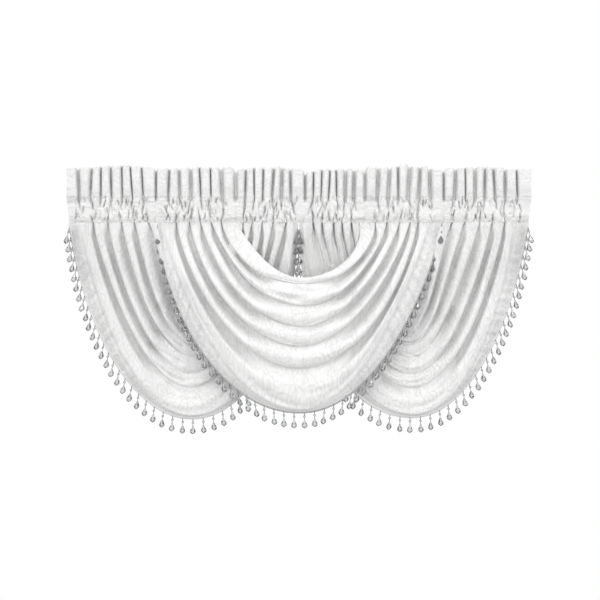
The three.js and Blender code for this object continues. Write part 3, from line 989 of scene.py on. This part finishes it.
def spun(bm, profile, finish_number):
    """A shape of revolution about the z axis, from a profile of radius and height, its ends still open."""
    verts = [bm.verts.new((radius * MM, 0, z * MM)) for radius, z in profile]
    edges = [bm.edges.new(pair) for pair in zip(verts, verts[1:])]
    bmesh.ops.spin(bm, geom=verts + edges, cent=(0, 0, 0), axis=(0, 0, 1), dvec=(0, 0, 0), angle=TURN,
                   steps=DROP_SIDES, use_merge=True, use_duplicate=False)
    bmesh.ops.remove_doubles(bm, verts=bm.verts, dist=1e-6)
    for face in bm.faces:
        if not face.tag:
            face.tag = True
            face.material_index = finish_number


drop = bmesh.new()
for profile, finish_number in ((THREAD, 2), (SMALL_BEAD, 1), (LINK, 2), (TEARDROP, 1)):
    spun(drop, profile, finish_number)
open_edges = [edge for edge in drop.edges if edge.is_boundary]
bmesh.ops.holes_fill(drop, edges=open_edges, sides=0)
bmesh.ops.recalc_face_normals(drop, faces=drop.faces)
drop_mesh = bpy.data.meshes.new("drop")
drop.to_mesh(drop_mesh)
drop.free()
print("faces in a drop:", len(drop_mesh.polygons))

# %% Tape along a hem
# where each length of trim starts and ends along its hem
TRIM_JOINS = {"a": (-1.0, -0.5), "b": (-0.5, 0.5), "c": (0.5, 1.0)}
# how far past the hem the tape starts, its width and half its thickness, in millimetres
HEM_GAP = 1.4
TAPE_WIDTH = 6.0
TAPE_HALF = 1.0


def hem_frame(side_name, along):
    """Points of the hem, and the way the cloth runs on past it."""
    inside = np.clip(along, -0.95, 0.95)
    outward = swag_point(side_name, HEM, inside) - swag_point(side_name, HEM - 0.04, inside)
    outward /= np.linalg.norm(outward, axis=-1, keepdims=True)
    return swag_point(side_name, HEM, along), outward


def tape_strip(bm, hem, outward):
    """A flat strip with thickness in an empty bm, from just past the hem to its own width further on."""
    count = len(hem)
    made = bmesh.ops.create_grid(bm, x_segments=count - 1, y_segments=1, size=1)
    for vert in made["verts"]:
        j = round((vert.co.x + 1) / 2 * (count - 1))
        away = HEM_GAP + (TAPE_WIDTH if vert.co.y < 0 else 0)
        vert.co = (hem[j] + outward[j] * away) * MM
    bmesh.ops.solidify(bm, geom=bm.faces[:], thickness=2 * TAPE_HALF * MM)
    bmesh.ops.recalc_face_normals(bm, faces=bm.faces)


print("tape is", TAPE_WIDTH, "mm wide and", 2 * TAPE_HALF, "mm thick")

# %% [markdown]
# ## Drops along a tape
# A free drop hangs plumb. Where a hem is steep, the drops of the side swags lean out a little from it, and
# those of the centre swag rest on the cloth behind them, so they lie along the hem. A shear leans a drop
# and keeps its height, where a turn about its root would lift its tip. Each also turns about its thread
# by chance.

# %% Drops
# how far apart the drops are, and how far in from the tape's edge they start, in millimetres
DROP_PITCH = 33.0
ROOT_INSET = 1.2
# leans on a steep hem, and how much chance adds, as shares of a drop's length
FREE_LEAN = 0.24
RESTING_LEAN = 0.62
SWAY = 0.02


def drop_slant(side_name, run):
    """How far a drop leans, from the way that its hem runs there."""
    sideways, _, steep = run / np.linalg.norm(run)
    if side_name == "centre":
        return RESTING_LEAN * sideways * steep * abs(steep)
    return -FREE_LEAN * steep


def hang_drop(bm, point, slant, rng):
    """A copy of the drop, at a point in millimetres."""
    before = len(bm.verts)
    bm.from_mesh(drop_mesh)
    bm.verts.ensure_lookup_table()
    lean = Matrix.Shear("XY", 4, (slant + rng.normal(0, SWAY), rng.normal(0, SWAY)))
    spin = Matrix.Rotation(rng.uniform(0, math.pi), 4, "Z")
    place = Matrix.Translation(point * MM) @ lean @ spin
    bmesh.ops.transform(bm, matrix=place, verts=bm.verts[before:])


print("a drop every", DROP_PITCH, "mm")

# %% Trims along the hems
# points along a tape, and how far each way the run of the hem is measured, in millimetres
TAPE_STEPS = 60
HALF_RUN = 4


def trim_piece(name, side_name, first, last, seed):
    rng = np.random.default_rng(seed)
    hem, outward = hem_frame(side_name, np.linspace(first, last, TAPE_STEPS))
    bm = bmesh.new()
    tape_strip(bm, hem, outward)
    root = hem + outward * (HEM_GAP + TAPE_WIDTH - ROOT_INSET)
    steps = np.linalg.norm(np.diff(root, axis=0), axis=1)
    length = np.append(0, steps.cumsum())
    count = round(length[-1] / DROP_PITCH)

    def on_tape(far):
        return np.array([np.interp(far, length, root[:, i]) for i in range(3)])

    for k in range(count):
        far = (k + 0.5) / count * length[-1]
        run = on_tape(far + HALF_RUN) - on_tape(far - HALF_RUN)
        hang_drop(bm, on_tape(far), drop_slant(side_name, run), rng)
    mesh = bpy.data.meshes.new(name)
    bm.to_mesh(mesh)
    bm.free()
    # painted shade: the centre swag's tape is made grey for the shadow under its hem, the others keep the
    # tape's own white
    tape = painted_shade_tape if side_name == "centre" else white_tape
    for finish in (tape, clear_bead, grey_thread):
        mesh.materials.append(finish)
    piece = bpy.data.objects.new(name, mesh)
    bpy.context.scene.collection.objects.link(piece)
    print(name, "has", count, "drops on", round(length[-1]), "mm of tape")
    return piece


trims = {}
for number, side_name in enumerate(SWAGS):
    for letter, (first, last) in TRIM_JOINS.items():
        trims[f"bead_trim_{side_name}_{letter}"] = trim_piece(
            f"bead_fringe_{side_name}_{letter}", side_name, first, last, 10 * number + ord(letter))

# %% [markdown]
# ## Pieces to the frame
# Each new piece rides on the part's one body, and stands in for the solid whose place it takes, which is
# hidden. A heading's strip was cut 1.7 times as long as its place on the rod, and 0.38 m the other way,
# round the ruffle and the pocket.

# %% Ride and replace
for node, piece in trims.items():
    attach(piece, "root")
    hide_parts(node)
for node, (piece, _) in headings.items():
    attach(piece, "root")
    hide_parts(node)
for side_name, (piece, area) in swags.items():
    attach(piece, "root")
    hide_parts(f"swag_{side_name}")
print("pieces:", len(trims) + len(headings) + len(swags))
